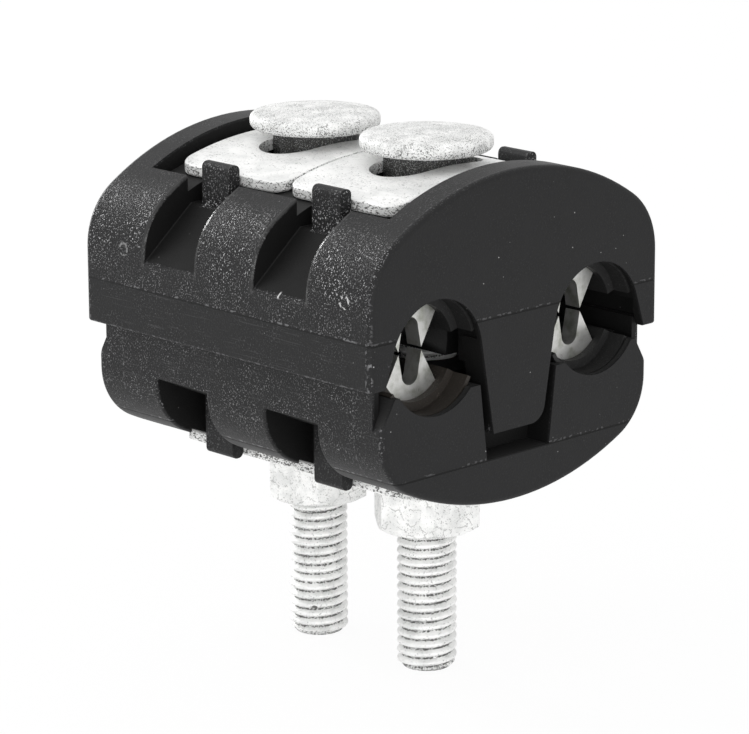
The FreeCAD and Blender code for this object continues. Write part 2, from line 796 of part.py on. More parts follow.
# Mushroom-head bolt with a square neck; the shank is drawn at its thread's outer diameter.
def make_bolt(label, y):
    body = new_body(label, y=y)
    profile = [
        ("0", "0"),
        ("bolt_tip_radius", "0"),
        ("bolt_radius", "bolt_tip_chamfer"),
        ("bolt_radius", "bolt_length"),
        ("head_radius", "bolt_length"),
        ("head_radius", "above"),
        ("0", "above"),
    ]
    dome = {5: ("0", "dome_centre", "dome_radius", "ccw")}
    sketch = draw_outline(body, "HalfProfile", "XZ_Plane", profile, dome)
    turn_profile(body, "Revolution", sketch, "ShankAndHead", "V_Axis")
    sketch = draw_box(
        body, "NeckOutline", "XY_Plane", "-neck_half", "neck_half", "-neck_half", "neck_half", "neck_bottom"
    )
    pad(body, sketch, "SquareNeck", "neck_length")
    dress_edges(
        body,
        "Fillet",
        "HeadEdges",
        "head_edge_round",
        lambda edge: abs(edge.Length - 2 * math.pi * number("head_radius")) < 1e-3,
    )


def make_nut(label, y, turn):
    body = new_body(label, y=y, z="nut_base")
    body.Placement = Placement(body.Placement.Base, Rotation(Vector(0, 0, 1), number(turn)))
    body.setExpression("Placement.Rotation.Angle", expression(turn))
    corners = [
        ("nut_corner", "0"),
        ("nut_half_corner", "nut_flat"),
        ("-nut_half_corner", "nut_flat"),
        ("-nut_corner", "0"),
        ("-nut_half_corner", "-nut_flat"),
        ("nut_half_corner", "-nut_flat"),
    ]
    sketch = draw_outline(body, "Hexagon", "XY_Plane", corners)
    pad(body, sketch, "HexagonBlock", "nut_height")
    for name, face, edge in (("Top", "nut_height", "nut_bevel_top"), ("Bottom", "0", "nut_bevel")):
        bevel = [("nut_face_radius", face), ("nut_outside", face), ("nut_outside", edge)]
        sketch = draw_outline(body, name + "BevelOutline", "XZ_Plane", bevel)
        turn_profile(body, "Groove", sketch, name + "Bevel", "V_Axis")
    sketch = draw_circle(body, "BoreCircle", "XY_Plane", "0", "0", "nut_bore_radius")
    cut(body, sketch, "Bore", both=True)
    dress_edges(
        body,
        "Chamfer",
        "BoreMouths",
        "nut_bore_chamfer",
        lambda edge: abs(edge.Length - 2 * math.pi * number("nut_bore_radius")) < 1e-3,
    )


# Contact blade across both grooves: a bar with a pair of chisel teeth at each groove.
def make_blade(label, y, turn=None):
    body = new_body(label, y=y, z="teeth_height", turn=turn)
    right = [
        ("tooth_inner_base", "-bar_top"),
        ("tooth_inner_base", "-tooth_base_drop"),
        ("inner_tip", "-tooth_gap"),
        ("left", "-valley_centre"),
        ("right", "-valley_centre"),
        ("outer_tip", "-tooth_gap"),
        ("blade_side", "-tooth_base_drop"),
        ("blade_side", "-blade_depth"),
    ]
    left = on_side(right, True)
    left.reverse()
    count = len(left)
    valleys = {
        count + 3: ("groove_x", "-valley_centre", "valley_radius", "ccw"),
        count - 5: ("-groove_x", "-valley_centre", "valley_radius", "ccw"),
    }
    sketch = draw_outline(body, "BladeOutline", "XZ_Plane", left + right, valleys)
    pad(body, sketch, "Blade", "blade_thickness", both=True)


# Rubber liner of one groove: end lips, a collar hugging each blade, and windows for the teeth.
def make_seal(label, x, angle, turn=None):
    body = new_body(label, x=x, z="teeth_height", turn=turn)
    half = [
        ("collar_half", "seal_collar_inner"),
        ("collar_half", "port_radius"),
        ("collar_start", "port_radius"),
        ("collar_start", "seal_collar_inner"),
        ("collar_end", "seal_collar_inner"),
        ("collar_end", "seal_lip_inner"),
        ("seal_end", "seal_lip_inner"),
        ("seal_end", "seal_lip_outer"),
        ("seal_shoulder", "seal_lip_outer"),
        ("seal_shoulder", "seal_outer"),
    ]
    other = on_side(half, True)
    other.reverse()
    sketch = draw_outline(body, "WallProfile", "YZ_Plane", half + other)
    turn_profile(body, "Revolution", sketch, "Wall", "H_Axis", angle)
    for row, offset in blade_rows:
        sketch = draw_box(
            body,
            row + "WindowOutline",
            "XZ_Plane",
            "-window_half",
            "window_half",
            "0",
            "clear_up",
            offset,
        )
        cut(body, sketch, row + "Window", "blade_slot_width", both=True)


over = Rotation(Vector(0, 1, 0), 180)
make_upper_body()
make_lower_body()
for row, y in (("front", "-bolt_y"), ("rear", "bolt_y")):
    make_plate("top_plate_" + row, y, "top_plate_height")
    make_plate("bottom_plate_" + row, y, "bottom_plate_height", over)
    make_bolt("bolt_" + row, y)
    make_nut("nut_" + row, y, row + "_nut_turn")
for row, y in (("front", "-blade_pitch"), ("middle", None), ("rear", "blade_pitch")):
    make_blade("lower_blade_" + row, y)
    make_blade("upper_blade_" + row, y, over)
for side, x in (("left", "-groove_x"), ("right", "groove_x")):
    make_seal("upper_seal_" + side, x, "upper_seal_angle")
    make_seal("lower_seal_" + side, x, "lower_seal_angle", over)
document.recompute()

for item in document.Objects:
    if "Invalid" in item.State or "Error" in item.State:
        raise RuntimeError(f"{item.Label} did not compute: {item.State}")
for feature, base in cuts:
    if feature.Shape.Volume > base.Shape.Volume - 1e-3:
        raise RuntimeError(f"{feature.Label} removes nothing")
for node in nodes:
    if node.Shape.isNull() or not node.Shape.isValid():
        raise RuntimeError(f"{node.Label} has no valid shape")

os.makedirs("parts", exist_ok=True)
for node in nodes:
    node.Shape.exportStep(f"parts/{node.Label}.step")
    box = node.Shape.optimalBoundingBox()
    low = f"{box.XMin:.2f} {box.YMin:.2f} {box.ZMin:.2f}"
    high = f"{box.XMax:.2f} {box.YMax:.2f} {box.ZMax:.2f}"
    print(f"{node.Label}: {low} to {high}, {len(node.Shape.Solids)} solid, {node.Shape.Volume:.0f} mm3")
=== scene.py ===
import bmesh
import bpy
import math
from mathutils import Matrix, Vector


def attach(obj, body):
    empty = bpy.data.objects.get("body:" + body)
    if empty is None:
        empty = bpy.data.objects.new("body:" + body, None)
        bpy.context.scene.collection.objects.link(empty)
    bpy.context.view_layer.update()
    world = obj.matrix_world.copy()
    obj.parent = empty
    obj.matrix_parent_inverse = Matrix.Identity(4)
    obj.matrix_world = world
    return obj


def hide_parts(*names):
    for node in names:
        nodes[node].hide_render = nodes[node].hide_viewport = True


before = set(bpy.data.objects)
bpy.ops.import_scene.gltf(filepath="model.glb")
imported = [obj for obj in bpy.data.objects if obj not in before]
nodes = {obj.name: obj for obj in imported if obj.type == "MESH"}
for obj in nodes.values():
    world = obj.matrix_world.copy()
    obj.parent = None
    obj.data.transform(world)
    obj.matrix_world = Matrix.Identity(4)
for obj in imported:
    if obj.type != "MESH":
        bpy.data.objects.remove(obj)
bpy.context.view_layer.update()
print("frame loaded with", len(nodes), "parts")


def boxOf(name):  # lowest and highest corner of one CAD part
    spots = [vertex.co for vertex in nodes[name].data.vertices]
    low = Vector([min(spot[axis] for spot in spots) for axis in range(3)])
    high = Vector([max(spot[axis] for spot in spots) for axis in range(3)])
    return low, high


teethPlane = (boxOf("lower_blade_front")[1].z + boxOf("upper_blade_front")[0].z) / 2
bodyEnd = boxOf("upper_body")[1].y
boltAxis = (boxOf("bolt_rear")[0].y + boxOf("bolt_rear")[1].y) / 2
plateEdge = boxOf("top_plate_front")[1].x
headTop = boxOf("bolt_front")[1].z


def addNode(tree, kind, **settings):
    node = tree.nodes.new(kind)
    for name, value in settings.items():
        setattr(node, name, value)
    return node


def wire(tree, source, target):
    tree.links.new(source, target)


def feed(tree, value, socket):  # a number, a colour or what another node gives
    if isinstance(value, tuple):
        socket.default_value = (*value, 1.0)
    elif isinstance(value, (int, float)):
        socket.default_value = value
    else:
        wire(tree, value, socket)


def calc(tree, operation, *values, clamp=False):  # one Math node
    node = addNode(tree, "ShaderNodeMath", operation=operation, use_clamp=clamp)
    for slot, value in enumerate(values):
        feed(tree, value, node.inputs[slot])
    return node.outputs[0]


def times(tree, *values):
    total = values[0]
    for value in values[1:]:
        total = calc(tree, "MULTIPLY", total, value)
    return total


def most(tree, *values):
    total = values[0]
    for value in values[1:]:
        total = calc(tree, "MAXIMUM", total, value)
    return total


def inverse(tree, value):
    return calc(tree, "SUBTRACT", 1.0, value)


def awayFrom(tree, value, centre):
    return calc(tree, "ABSOLUTE", calc(tree, "SUBTRACT", value, centre))


def reachOf(tree, first, second):  # distance from zero, out of two directions
    square = calc(tree, "ADD", times(tree, first, first), times(tree, second, second))
    return calc(tree, "SQRT", square)


def axesOf(tree, vector):
    node = addNode(tree, "ShaderNodeSeparateXYZ")
    wire(tree, vector, node.inputs[0])
    return [node.outputs[axis] for axis in "XYZ"]


def remap(tree, value, low, high, toLow=0.0, toHigh=1.0):
    node = addNode(tree, "ShaderNodeMapRange", interpolation_type="SMOOTHSTEP")
    wire(tree, value, node.inputs["Value"])
    feed(tree, low, node.inputs["From Min"])
    feed(tree, high, node.inputs["From Max"])
    feed(tree, toLow, node.inputs["To Min"])
    feed(tree, toHigh, node.inputs["To Max"])
    return node.outputs["Result"]


def fade(tree, value, steps, origin=0.0):  # steps: from, to, and the results there if not 0 and 1
    start, end, *results = steps
    return remap(tree, value, origin + start, origin + end, *results)


softness = {"ridgeCore": 0.4, "dotEdge": 0.62, "dotSpread": 0.24, "dotFade": 0.06}


def ridge(tree, value, centre, width):  # one on the centre, none past the width
    core = width * softness["ridgeCore"]
    return remap(tree, awayFrom(tree, value, centre), core, width, 1.0, 0.0)


def noise(tree, coords, scale, detail=3.0, roughness=0.55):
    node = addNode(tree, "ShaderNodeTexNoise")
    wire(tree, coords, node.inputs["Vector"])
    feed(tree, scale, node.inputs["Scale"])
    node.inputs["Detail"].default_value = detail
    node.inputs["Roughness"].default_value = roughness
    return node.outputs["Fac"]


def dots(tree, coords, scale, share):  # broken specks, more of them with a larger share
    edge = softness["dotEdge"] - softness["dotSpread"] * share
    specks = noise(tree, coords, scale, detail=1.0, roughness=0.5)
    return remap(tree, specks, edge, edge + softness["dotFade"])


def cellDistance(tree, coords, scale, feature="F1"):
    node = addNode(tree, "ShaderNodeTexVoronoi", feature=feature)
    node.inputs["Scale"].default_value = scale
    wire(tree, coords, node.inputs["Vector"])
    return node.outputs["Distance"]


def stretched(tree, coords, scale):
    node = addNode(tree, "ShaderNodeMapping")
    node.inputs["Scale"].default_value = scale
    wire(tree, coords, node.inputs["Vector"])
    return node.outputs["Vector"]


def blendColours(tree, factor, first, second):
    node = addNode(tree, "ShaderNodeMix", data_type="RGBA")
    wire(tree, factor, node.inputs["Factor"])
    feed(tree, first, node.inputs[6])
    feed(tree, second, node.inputs[7])
    return node.outputs[2]


def facing(tree):  # how far the surface looks up or down
    return axesOf(tree, addNode(tree, "ShaderNodeTexCoord").outputs["Normal"])[2]


def addSockets(tree, way, kind, *labels):
    for label in labels:
        tree.interface.new_socket(label, in_out=way, socket_type="NodeSocket" + kind)


def newSkinGroup(name, colours, numbers):
    tree = bpy.data.node_groups.new(name, "ShaderNodeTree")
    addSockets(tree, "INPUT", "Vector", "Coords")
    addSockets(tree, "INPUT", "Color", *colours)
    addSockets(tree, "INPUT", "Float", *numbers)
    addSockets(tree, "OUTPUT", "Color", "Colour")
    addSockets(tree, "OUTPUT", "Float", "Roughness", "Height")
    return tree, addNode(tree, "NodeGroupInput").outputs, addNode(tree, "NodeGroupOutput").inputs


def placeGroup(tree, group, values):
    node = addNode(tree, "ShaderNodeGroup", node_tree=group)
    for name, value in values.items():
        feed(tree, value, node.inputs[name])
    return node.outputs


def newMaterial(name):
    material = bpy.data.materials.new(name)
    material.use_nodes = True
    tree = material.node_tree
    coords = addNode(tree, "ShaderNodeTexCoord").outputs["Object"]
    return material, tree, tree.nodes["Principled BSDF"], coords


def dressShader(tree, shader, colour, roughness, height, depth):
    wire(tree, colour, shader.inputs["Base Color"])
    wire(tree, roughness, shader.inputs["Roughness"])
    bump = addNode(tree, "ShaderNodeBump")
    bump.inputs["Distance"].default_value = depth
    wire(tree, height, bump.inputs["Height"])
    wire(tree, bump.outputs["Normal"], shader.inputs["Normal"])


grainLook = {
    "cloudScale": 260.0,
    "cloudGlints": (0.38, 0.62, 0.3, 1.1),
    "cloudRoughness": 0.16,
    "glintScale": 4700.0,
    "glintBand": (0.58, 0.67),
    "glintRoughness": -0.2,
    "glintHeight": 0.6,
    "dustScale": 540.0,
    "dustSize": (0.03, 0.052, 1.0, 0.0),
    "dustPatchScale": 150.0,
    "dustPatches": (0.4, 0.6),
    "dustColour": (0.45, 0.45, 0.45),
}


def makeGrainGroup():
    # fine moulded grain: bright glints painted into the colour as highlights, and a little dust
    look = grainLook
    tree, source, sink = newSkinGroup(
        "mouldedGrain",
        ("Colour", "Glint"),
        ("Grain Scale", "Glint Amount", "Dust Amount", "Base Roughness"),
    )
    coords = source["Coords"]
    grain = noise(tree, coords, source["Grain Scale"], detail=2.0)
    cloud = noise(tree, coords, look["cloudScale"])
    glints = fade(tree, noise(tree, coords, look["glintScale"], detail=1.5), look["glintBand"])
    share = times(tree, glints, source["Glint Amount"], fade(tree, cloud, look["cloudGlints"]))
    dust = fade(tree, cellDistance(tree, coords, look["dustScale"]), look["dustSize"])
    patches = noise(tree, coords, look["dustPatchScale"], detail=2.0)
    patches = fade(tree, patches, look["dustPatches"])
    dust = times(tree, dust, source["Dust Amount"], patches)
    # painted highlight: the glint specks lighten the colour
    skin = blendColours(tree, share, source["Colour"], source["Glint"])
    wire(tree, blendColours(tree, dust, skin, look["dustColour"]), sink["Colour"])
    swing = look["cloudRoughness"]
    rough = calc(tree, "MULTIPLY_ADD", cloud, swing, -swing / 2)
    rough = calc(tree, "ADD", source["Base Roughness"], rough)
    wire(tree, calc(tree, "MULTIPLY_ADD", share, look["glintRoughness"], rough), sink["Roughness"])
    wire(tree, calc(tree, "MULTIPLY_ADD", share, look["glintHeight"], grain), sink["Height"])
    return tree


zincSkin = {
    "patchScale": 480.0,
    "patchBand": (0.44, 0.62),
    "pitEdge": 0.655,
    "pitSoftness": 0.06,
    "pitShare": (0.0, 1.0, 0.45, 0.9),
    "wearAndShadeSpread": -0.13,
    "patchSpread": -0.05,
    "wobbleScale": 900.0,
    "wobble": 0.0012,
    "crackScale": 420.0,
    "crackWidth": (0.008, 0.03, 1.0, 0.0),
    "crackDots": (1500.0, 0.6),
    "wearAndShadeDull": 0.12,
    "dullBand": (0.42, 0.70),
    "roughness": 0.45,
    "pitRoughness": 0.3,
    "cloudHeight": 0.5,
}


def makeZincGroup():
    # hot-dip zinc: cloudy and pale, with fine dark pits where it is worn and where shade is painted,
    # and hair cracks
    look = zincSkin
    tree, source, sink = newSkinGroup(
        "dippedZinc", ("Light", "Dull", "Pit"), ("Wear And Shade", "Pit Scale", "Cloud Scale", "Cracks")
    )
    coords, wearAndShade = source["Coords"], source["Wear And Shade"]
    cloud = noise(tree, coords, source["Cloud Scale"], detail=5.0, roughness=0.6)
    patches = noise(tree, coords, look["patchScale"], roughness=0.6)
    patches = fade(tree, patches, look["patchBand"])
    edge = calc(tree, "MULTIPLY_ADD", wearAndShade, look["wearAndShadeSpread"], look["pitEdge"])
    edge = calc(tree, "MULTIPLY_ADD", patches, look["patchSpread"], edge)
    fine = noise(tree, coords, source["Pit Scale"], detail=2.0, roughness=0.65)
    pits = remap(tree, fine, edge, calc(tree, "ADD", edge, look["pitSoftness"]))
    pits = times(tree, pits, fade(tree, wearAndShade, look["pitShare"]))

    wobble = addNode(tree, "ShaderNodeTexNoise")
    wobble.inputs["Scale"].default_value = look["wobbleScale"]
    wire(tree, coords, wobble.inputs["Vector"])
    shift = addNode(tree, "ShaderNodeVectorMath", operation="MULTIPLY_ADD")
    wire(tree, wobble.outputs["Color"], shift.inputs[0])
    shift.inputs[1].default_value = [look["wobble"]] * 3
    wire(tree, coords, shift.inputs[2])
    edges = cellDistance(tree, shift.outputs[0], look["crackScale"], "DISTANCE_TO_EDGE")
    cracks = fade(tree, edges, look["crackWidth"])
    cracks = times(tree, cracks, source["Cracks"], dots(tree, coords, *look["crackDots"]))

    dark = calc(tree, "MAXIMUM", pits, cracks, clamp=True)
    dulled = calc(tree, "MULTIPLY_ADD", wearAndShade, look["wearAndShadeDull"], cloud)
    dulled = fade(tree, dulled, look["dullBand"])
    base = blendColours(tree, dulled, source["Light"], source["Dull"])
    wire(tree, blendColours(tree, dark, base, source["Pit"]), sink["Colour"])
    rough = calc(tree, "MULTIPLY_ADD", dark, look["pitRoughness"], look["roughness"])
    wire(tree, rough, sink["Roughness"])
    clouds = calc(tree, "MULTIPLY", cloud, look["cloudHeight"])
    wire(tree, calc(tree, "MULTIPLY_ADD", dark, -1.0, clouds), sink["Height"])
    return tree


grainGroup = makeGrainGroup()
zincGroup = makeZincGroup()

nylonLook = {
    "colour": (0.0105, 0.0105, 0.011),
    # painted shade: the colour for pockets, ports and recesses off the outer skin
    "paintedShade": (0.004, 0.004, 0.004),
    # painted highlight: the colour of the glint specks
    "glint": (0.8, 0.8, 0.81),
    "grainScale": 3800.0,
    "grainDepth": 0.00013,
    "glintRelief": (0.0, 0.5, 0.25, 1.3),
    "roughness": 0.5,
    "hiddenRoughness": 0.14,
    "specular": 0.25,
    "endGlints": 0.012,
    "topGlints": 0.3,
    "dust": 0.35,
    "endDust": 0.6,
    "skinBand": (-0.0005, -0.0002),
    "endBand": (-0.0005, -0.0001),
    "cornerBand": (-0.0002, 0.0002),
    "textureStart": 0.0002,
    "clipHalf": (0.0027, 0.0029, 1.0, 0.0),
    "clipReach": (0.0025, 0.0027, 1.0, 0.0),
    "clipRimHalf": (0.0021, 0.0026),
    "clipRimReach": (0.0018, 0.0023),
}
# the marks: mould line, seams and skirt rim with painted highlights, worn corners, rubbed pocket rims
# and pocket floors with painted highlights, scratches, rings, gate
markLook = {
    "lineShade": (0.002, 0.002, 0.002),
    # painted highlight on the mould line's crest, seams and skirt rim, and the pale colour of worn
    # corners and scratches
    "paleHighlightAndWear": (0.17, 0.17, 0.175),
    "lineWidth": 0.00019,
    "lineDepth": 0.9,
    "crestDots": (1700.0, 0.3),
    "crestEnds": (0.0, 1.0, 0.9, 0.35),
    "seamDots": (2300.0, 0.4),
    "seamAbove": (0.0, 0.0001, 1.0, 0.3),
    "rimDots": (2000.0, 0.45),
    "rimShare": 0.5,
    "cornerDots": (1900.0, 0.3),
    "cornerSide": (-0.0006, -0.0002),
    "cornerEnd": (-0.0008, -0.0003),
    "cornerAbove": (-0.0002, 0.0, 1.0, 0.45),
    # painted highlight on the rubbed pocket rims and round the pocket floors; the rims' gloss is real
    "rubbedHighlight": (0.035, 0.035, 0.035),
    "rubbedRoughness": -0.42,
    "pocketHalf": 0.0049,
    "pocketRim": (0.0002, 0.0004),
    "pocketStart": (0.0028, 0.0034),
    "pocketScale": 700.0,
    "pocketPatches": (0.35, 0.55, 0.45, 1.0),
    "floorSlope": (0.3, 0.4),
    "floorEdge": (-0.00035, -0.0002),
    "floorShare": 0.5,
    "scratches": 0.1,
    "scratchStretch": (1.0, 0.03, 1.0),
    "scratchScale": 4200.0,
    "scratchBand": (0.62, 0.72),
    "scratchBelow": (-0.0002, 0.0, 1.0, 0.0),
    "torn": (0.6, 0.6, 0.6),
    "markedSide": (-0.0215, -0.0205, 1.0, 0.0),
    "pipRadius": 0.00075,
    "pipWidth": 0.00022,
    "pipDots": (1300.0, 0.5),
    "pipHeight": 1.5,
    "gateSize": (0.00018, 0.0005),
}
# heights from the plane of the teeth, upwards for the upper half and downwards for the lower
upperLook = {
    "body": "upper_body",
    "way": 1,
    "rise": 0.0220,
    "archRadius": 0.0400,
    "cornerRadius": 0.0095,
    "mouldLine": 0.0034,
    "glints": 0.23,
    "shoulder": (0.0055, 0.0105, 0.0140, 0.0170),
    "shoulderGlints": 0.44,
    "clipGlints": 0.26,
    "bandGlints": 0.06,
    "rim": -0.00245,
    "seam": 0.0264,
    "seamShare": 0.55,
    "pips": ((0.0194, 0.0083, 0.3), (-0.0225, 0.0083, 0.9)),  # along, up and how plain
    "gateMark": (-0.0105, 0.0071),
}
lowerLook = {
    "body": "lower_body",
    "way": -1,
    "rise": 0.0214,
    "archRadius": 0.0440,
    "cornerRadius": 0.0085,
    "mouldLine": 0.0151,
    "glints": 0.1,
    "shoulder": (0.0020, 0.0035, 0.0120, 0.0160),
    "shoulderGlints": 0.06,
    "clipGlints": 0.05,
    "bandGlints": 0.14,
    "rim": 0.0300,
    "seam": 0.0221,
    "seamShare": 0.4,
    "pips": (),
    "gateMark": (0.0140, 0.0108),
}


def outerSkin(tree, across, up, look):  # one on arch, corner rounds and sides, none in pockets
    archCentre = look["rise"] - look["archRadius"]
    reach = look["archRadius"] - look["cornerRadius"]
    cornerX = boxOf(look["body"])[1].x - look["cornerRadius"]
    cornerUp = math.sqrt(reach ** 2 - cornerX ** 2)
    fromArch = reachOf(tree, across, calc(tree, "SUBTRACT", up, archCentre))
    arch = fade(tree, fromArch, nylonLook["skinBand"], look["archRadius"])
    x = calc(tree, "SUBTRACT", across, cornerX)
    z = calc(tree, "SUBTRACT", up, archCentre + cornerUp)
    lean = times(tree, x, cornerUp / reach)
    lean = calc(tree, "SUBTRACT", lean, times(tree, z, cornerX / reach))
    fromCorner = reachOf(tree, x, calc(tree, "MAXIMUM", z, 0.0))
    corner = fade(tree, fromCorner, nylonLook["skinBand"], look["cornerRadius"])
    corner = times(tree, corner, fade(tree, lean, nylonLook["cornerBand"]))
    return calc(tree, "MAXIMUM", arch, corner)


def findPlaces(tree, coords, look):  # distances and masks that the marks are placed by
    x, y, z = axesOf(tree, coords)
    at = {"coords": coords, "along": y}
    at["up"] = calc(tree, "MULTIPLY", calc(tree, "SUBTRACT", z, teethPlane), look["way"])
    at["sideways"] = calc(tree, "ABSOLUTE", x)
    at["lengthways"] = calc(tree, "ABSOLUTE", y)
    at["fromBolt"] = awayFrom(tree, at["lengthways"], boltAxis)
    at["endFace"] = fade(tree, at["lengthways"], nylonLook["endBand"], bodyEnd)
    at["offEnds"] = inverse(tree, at["endFace"])
    at["skin"] = most(tree, outerSkin(tree, at["sideways"], at["up"], look), at["endFace"])
    at["clips"] = times(
        tree,
        fade(tree, at["fromBolt"], nylonLook["clipHalf"]),
        fade(tree, at["sideways"], nylonLook["clipReach"], plateEdge),
    )
    at["shown"] = most(tree, at["skin"], at["clips"])
    at["hidden"] = inverse(tree, at["shown"])
    at["markedSide"] = fade(tree, x, markLook["markedSide"])
    return at


def findGlints(tree, at, look):  # how much painted glint the grain gets: painted highlights, most on the shoulders and clip rims
    foot, low, high, top = look["shoulder"]
    line = look["mouldLine"]
    shoulder = times(
        tree,
        remap(tree, at["up"], foot, low),
        remap(tree, at["up"], high, top, 1.0, 0.0),
    )
    steps = (line, line + nylonLook["textureStart"], look["bandGlints"], look["glints"])
    glints = times(
        tree,
        remap(tree, at["up"], *steps),
        remap(tree, at["up"], high, top, 1.0, nylonLook["topGlints"]),
    )
    glints = calc(tree, "MULTIPLY_ADD", shoulder, look["shoulderGlints"], glints)
    clipRim = most(
        tree,
        fade(tree, at["fromBolt"], nylonLook["clipRimHalf"]),
        fade(tree, at["sideways"], nylonLook["clipRimReach"], plateEdge),
    )
    clipRim = times(tree, at["clips"], clipRim)
    glints = calc(tree, "MULTIPLY_ADD", clipRim, look["clipGlints"], glints)
    glints = times(tree, glints, at["offEnds"], at["shown"])
    return calc(tree, "MULTIPLY_ADD", at["endFace"], nylonLook["endGlints"], glints)


def findLines(tree, at, look):  # the mould line's shade, and all that is paler than the skin: painted highlights on the mould line's crest and the seams, painted highlight and wear on the skirt rim, worn corners and scratches
    mark, coords, up, skin = markLook, at["coords"], at["up"], at["skin"]
    line, width = look["mouldLine"], mark["lineWidth"]
    shade = times(tree, ridge(tree, up, line, width), skin, mark["lineDepth"])
    crest = times(
        tree,
        ridge(tree, up, line + width * look["way"], width),
        skin,
        dots(tree, coords, *mark["crestDots"]),
        fade(tree, at["endFace"], mark["crestEnds"]),
    )
    seam = times(
        tree,
        ridge(tree, at["lengthways"], look["seam"], width),
        skin,
        dots(tree, coords, *mark["seamDots"]),
        fade(tree, up, mark["seamAbove"], line),
        look["seamShare"],
    )
    rim = times(
        tree,
        ridge(tree, up, look["rim"], width),
        skin,
        at["offEnds"],
        dots(tree, coords, *mark["rimDots"]),
        mark["rimShare"],
    )
    corner = times(
        tree,
        fade(tree, at["sideways"], mark["cornerSide"], boxOf(look["body"])[1].x),
        fade(tree, at["lengthways"], mark["cornerEnd"], bodyEnd),
        dots(tree, coords, *mark["cornerDots"]),
        fade(tree, up, mark["cornerAbove"], line),
    )
    drawn = stretched(tree, coords, mark["scratchStretch"])
    drawn = noise(tree, drawn, mark["scratchScale"], detail=1.0)
    scratches = times(
        tree,
        fade(tree, drawn, mark["scratchBand"]),
        at["offEnds"],
        skin,
        fade(tree, up, mark["scratchBelow"], line),
        mark["scratches"],
    )
    return shade, most(tree, crest, seam, rim, corner, scratches)


def findRubbedHighlights(tree, at, look):  # glossy rubbed pocket rims made paler as a painted highlight, and a painted highlight line round the pocket floors
    mark, half = markLook, markLook["pocketHalf"]
    offset, width = mark["pocketRim"]
    patches = noise(tree, at["coords"], mark["pocketScale"], detail=2.0)
    rubbedHighlight = times(
        tree,
        ridge(tree, at["fromBolt"], half + offset, width),
        at["skin"],
        at["offEnds"],
        fade(tree, at["up"], mark["pocketStart"], look["mouldLine"]),
        fade(tree, patches, mark["pocketPatches"]),
    )
    floorHighlight = times(
        tree,
        fade(tree, at["fromBolt"], mark["floorEdge"], half),
        fade(tree, facing(tree), mark["floorSlope"]),
        at["hidden"],
        mark["floorShare"],
    )
    return rubbedHighlight, floorHighlight


def findTorn(tree, at, look):  # a torn gate, and ejector rings where the half has them
    mark = markLook
    gateAlong, gateUp = look["gateMark"]
    gateWidth, gateHeight = mark["gateSize"]
    torn = times(
        tree,
        ridge(tree, at["along"], gateAlong, gateWidth),
        ridge(tree, at["up"], gateUp, gateHeight),
        at["markedSide"],
    )
    if not look["pips"]:
        return torn, None
    rings = 0.0
    for pipAlong, pipUp, share in look["pips"]:
        along = calc(tree, "SUBTRACT", at["along"], pipAlong)
        up = calc(tree, "SUBTRACT", at["up"], pipUp)
        ring = ridge(tree, reachOf(tree, along, up), mark["pipRadius"], mark["pipWidth"])
        rings = calc(tree, "ADD", times(tree, ring, at["markedSide"], share), rings)
    torn = most(tree, torn, times(tree, rings, dots(tree, at["coords"], *mark["pipDots"])))
    return torn, rings


def makeNylon(name, look):
    material, tree, shader, coords = newMaterial(name)
    at = findPlaces(tree, coords, look)
    glints = findGlints(tree, at, look)
    shade, light = findLines(tree, at, look)
    rubbedHighlight, floorHighlight = findRubbedHighlights(tree, at, look)
    torn, rings = findTorn(tree, at, look)
    grain = placeGroup(
        tree,
        grainGroup,
        {
            "Coords": coords,
            # painted shade: all that is off the outer skin and the clips takes the darker colour
            "Colour": blendColours(tree, at["shown"], nylonLook["paintedShade"], nylonLook["colour"]),
            "Glint": nylonLook["glint"],
            "Grain Scale": nylonLook["grainScale"],
            "Glint Amount": glints,
            "Dust Amount": calc(
                tree, "MULTIPLY_ADD", at["endFace"], nylonLook["endDust"], nylonLook["dust"]
            ),
            "Base Roughness": nylonLook["roughness"],
        },
    )
    colour = blendColours(tree, shade, grain["Colour"], markLook["lineShade"])
    # painted highlight: the rubbed rims and the line round the pocket floors get a paler colour
    colour = blendColours(tree, most(tree, rubbedHighlight, floorHighlight), colour, markLook["rubbedHighlight"])
    # painted highlights on the crest, seams and skirt rim, and pale worn corners and scratches
    colour = blendColours(tree, light, colour, markLook["paleHighlightAndWear"])
    colour = blendColours(tree, torn, colour, markLook["torn"])
    dull = most(tree, at["endFace"], at["hidden"])
    rough = calc(tree, "MULTIPLY_ADD", dull, nylonLook["hiddenRoughness"], grain["Roughness"])
    rough = calc(tree, "MULTIPLY_ADD", rubbedHighlight, markLook["rubbedRoughness"], rough)
    relief = times(
        tree,
        grain["Height"],
        fade(tree, glints, nylonLook["glintRelief"]),
        inverse(tree, rubbedHighlight),
    )
    relief = calc(tree, "ADD", relief, calc(tree, "SUBTRACT", light, shade))
    if rings is not None:
        relief = calc(tree, "MULTIPLY_ADD", rings, markLook["pipHeight"], relief)
    dressShader(tree, shader, colour, rough, relief, nylonLook["grainDepth"])
    shader.inputs["Specular IOR Level"].default_value = nylonLook["specular"]
    return material


rubberLook = {
    "black": (0.012, 0.012, 0.012),
    "brown": (0.024, 0.02, 0.0165),
    "glintGain": 5.0,
    "glints": 0.3,
    "grainScale": 2500.0,
    "grainDepth": 0.00004,
    "dust": 0.5,
    "roughness": 0.58,
    "specular": 0.4,
}


